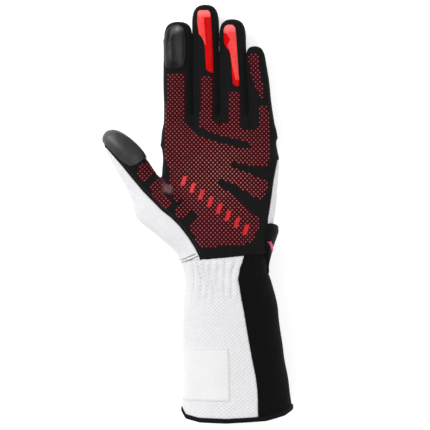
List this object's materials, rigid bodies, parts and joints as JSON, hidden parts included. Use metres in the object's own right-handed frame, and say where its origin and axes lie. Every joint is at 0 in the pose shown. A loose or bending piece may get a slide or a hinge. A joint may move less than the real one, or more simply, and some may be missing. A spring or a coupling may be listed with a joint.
{
  "type": "karting glove",
  "caption": "Left karting glove with a long flared cuff, suede palm, smooth fingertip overlays, raised grip strips and a wrist strap, lying palm up.",
  "frame": {"origin": "on the flat patch that the back of the hand rests on, under the middle of the palm", "axes": "+Y along the fingers, +X to the little finger, +Z out of the palm"},
  "size_m": [0.1525, 0.3348, 0.058],
  "materials": {
    "black_suede": "matt synthetic suede with printed dark red grip zones",
    "white_knit": "smooth stretch fabric",
    "black_knit": "matt stretch fabric",
    "smooth_leather": "smooth semi-gloss synthetic leather",
    "red_silicone": "satin moulded silicone",
    "white_mesh": "perforated knit",
    "black_binding": "folded tape binding",
    "white_patch": "smooth blank patch",
    "black_strap": "matt laminated strap",
    "pink_print": "printed stripe"
  },
  "bodies": {
    "root": {"palm_panel": "black_suede", "back_panel": "white_knit", "thumb_back": "black_knit", "index_back": "black_knit", "middle_back": "black_knit", "ring_back": "black_knit", "little_back": "black_knit", "index_tip_patch": "smooth_leather", "thumb_tip_patch": "smooth_leather", "middle_grip_strip": "red_silicone", "ring_grip_strip": "red_silicone", "cuff_white_panel": "white_mesh", "cuff_black_panel": "black_knit", "cuff_hem": "black_binding", "name_patch": "white_patch", "wrist_strap": "black_strap", "strap_accent": "pink_print", "palm_bar_1": "red_silicone", "palm_bar_2": "red_silicone", "palm_bar_3": "red_silicone", "palm_bar_4": "red_silicone", "palm_bar_5": "red_silicone", "palm_bar_6": "red_silicone", "palm_bar_7": "red_silicone", "palm_bar_8": "red_silicone"}
  },
  "joints": []
}
